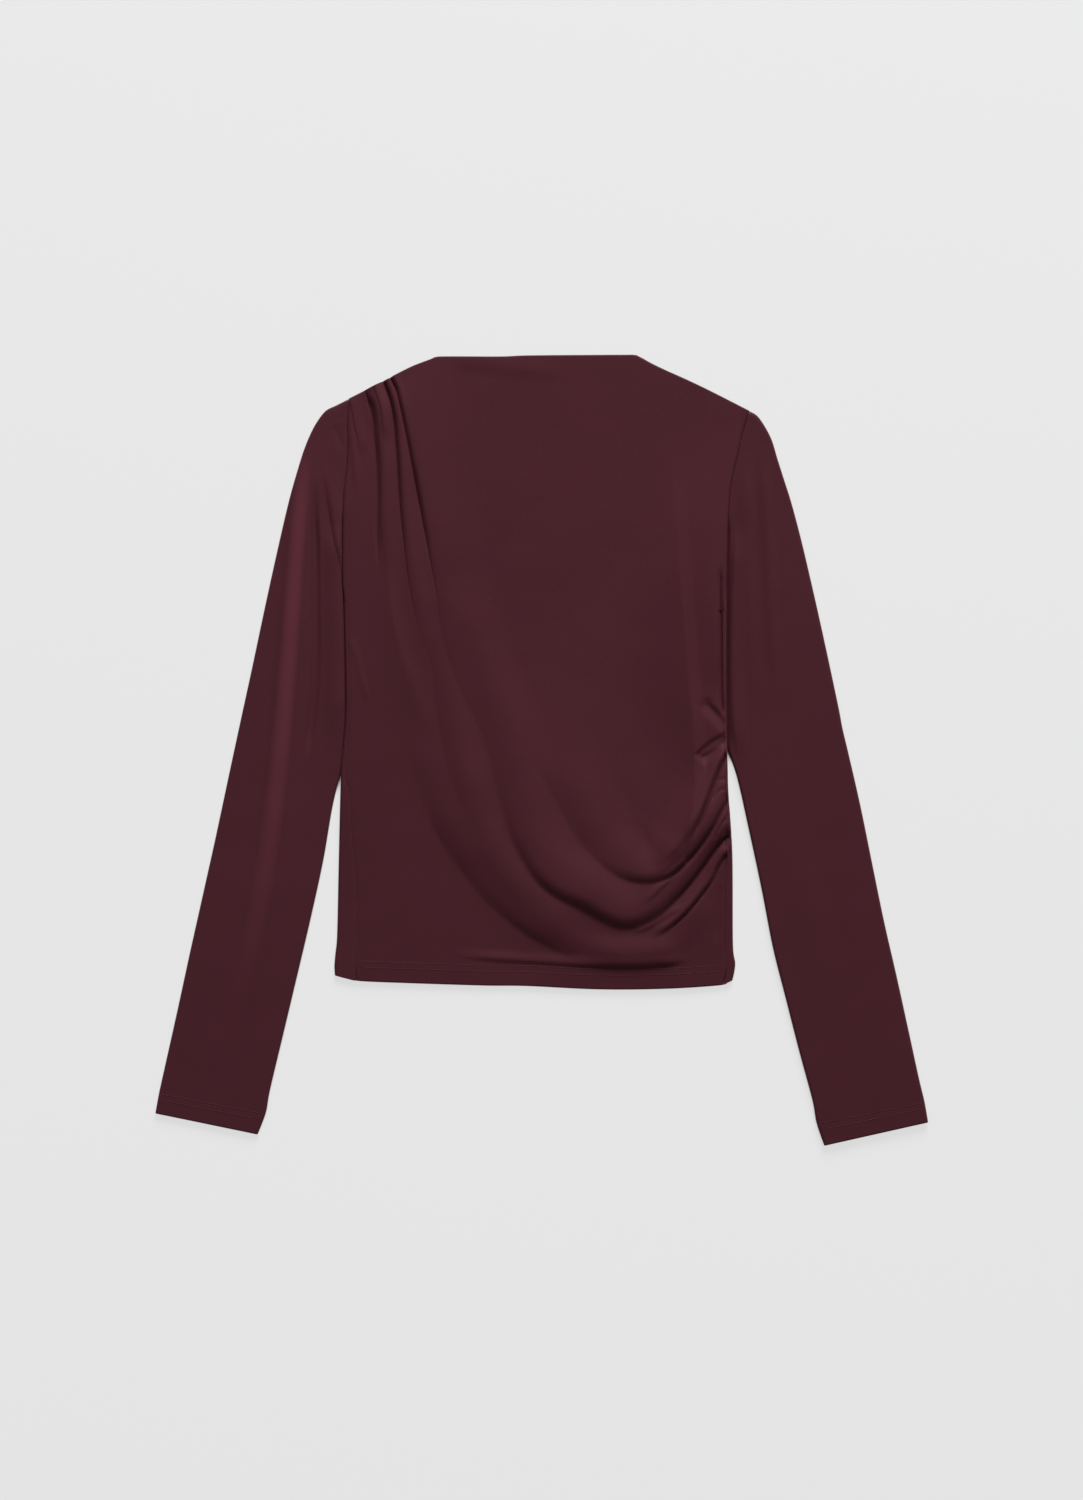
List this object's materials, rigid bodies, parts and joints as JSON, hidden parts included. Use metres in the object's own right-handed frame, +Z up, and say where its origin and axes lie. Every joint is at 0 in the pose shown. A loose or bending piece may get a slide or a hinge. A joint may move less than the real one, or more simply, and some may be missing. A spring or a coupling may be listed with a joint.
{
  "type": "long-sleeve draped jersey top",
  "caption": "Fitted long-sleeved jersey top laid flat: wide straight neckline, pleats at one shoulder and a front draped into gathers at the opposite side seam.",
  "frame": {"origin": "on the surface the top lies on, under the middle of its bounding box", "axes": "+X across the body towards the wearer's left, +Y from hem to neck, +Z up out of the front"},
  "size_m": [0.695, 0.711, 0.0105],
  "materials": {
    "jersey_front": "dark burgundy viscose jersey, matt with a soft sheen",
    "jersey_back": "dark burgundy viscose jersey, matt with a soft sheen",
    "jersey_sleeve_right": "dark burgundy viscose jersey, matt with a soft sheen",
    "jersey_sleeve_left": "dark burgundy viscose jersey, matt with a soft sheen"
  },
  "bodies": {
    "root": {"front": "jersey_front", "back": "jersey_back", "sleeve_right": "jersey_sleeve_right", "sleeve_left": "jersey_sleeve_left"}
  },
  "joints": []
}
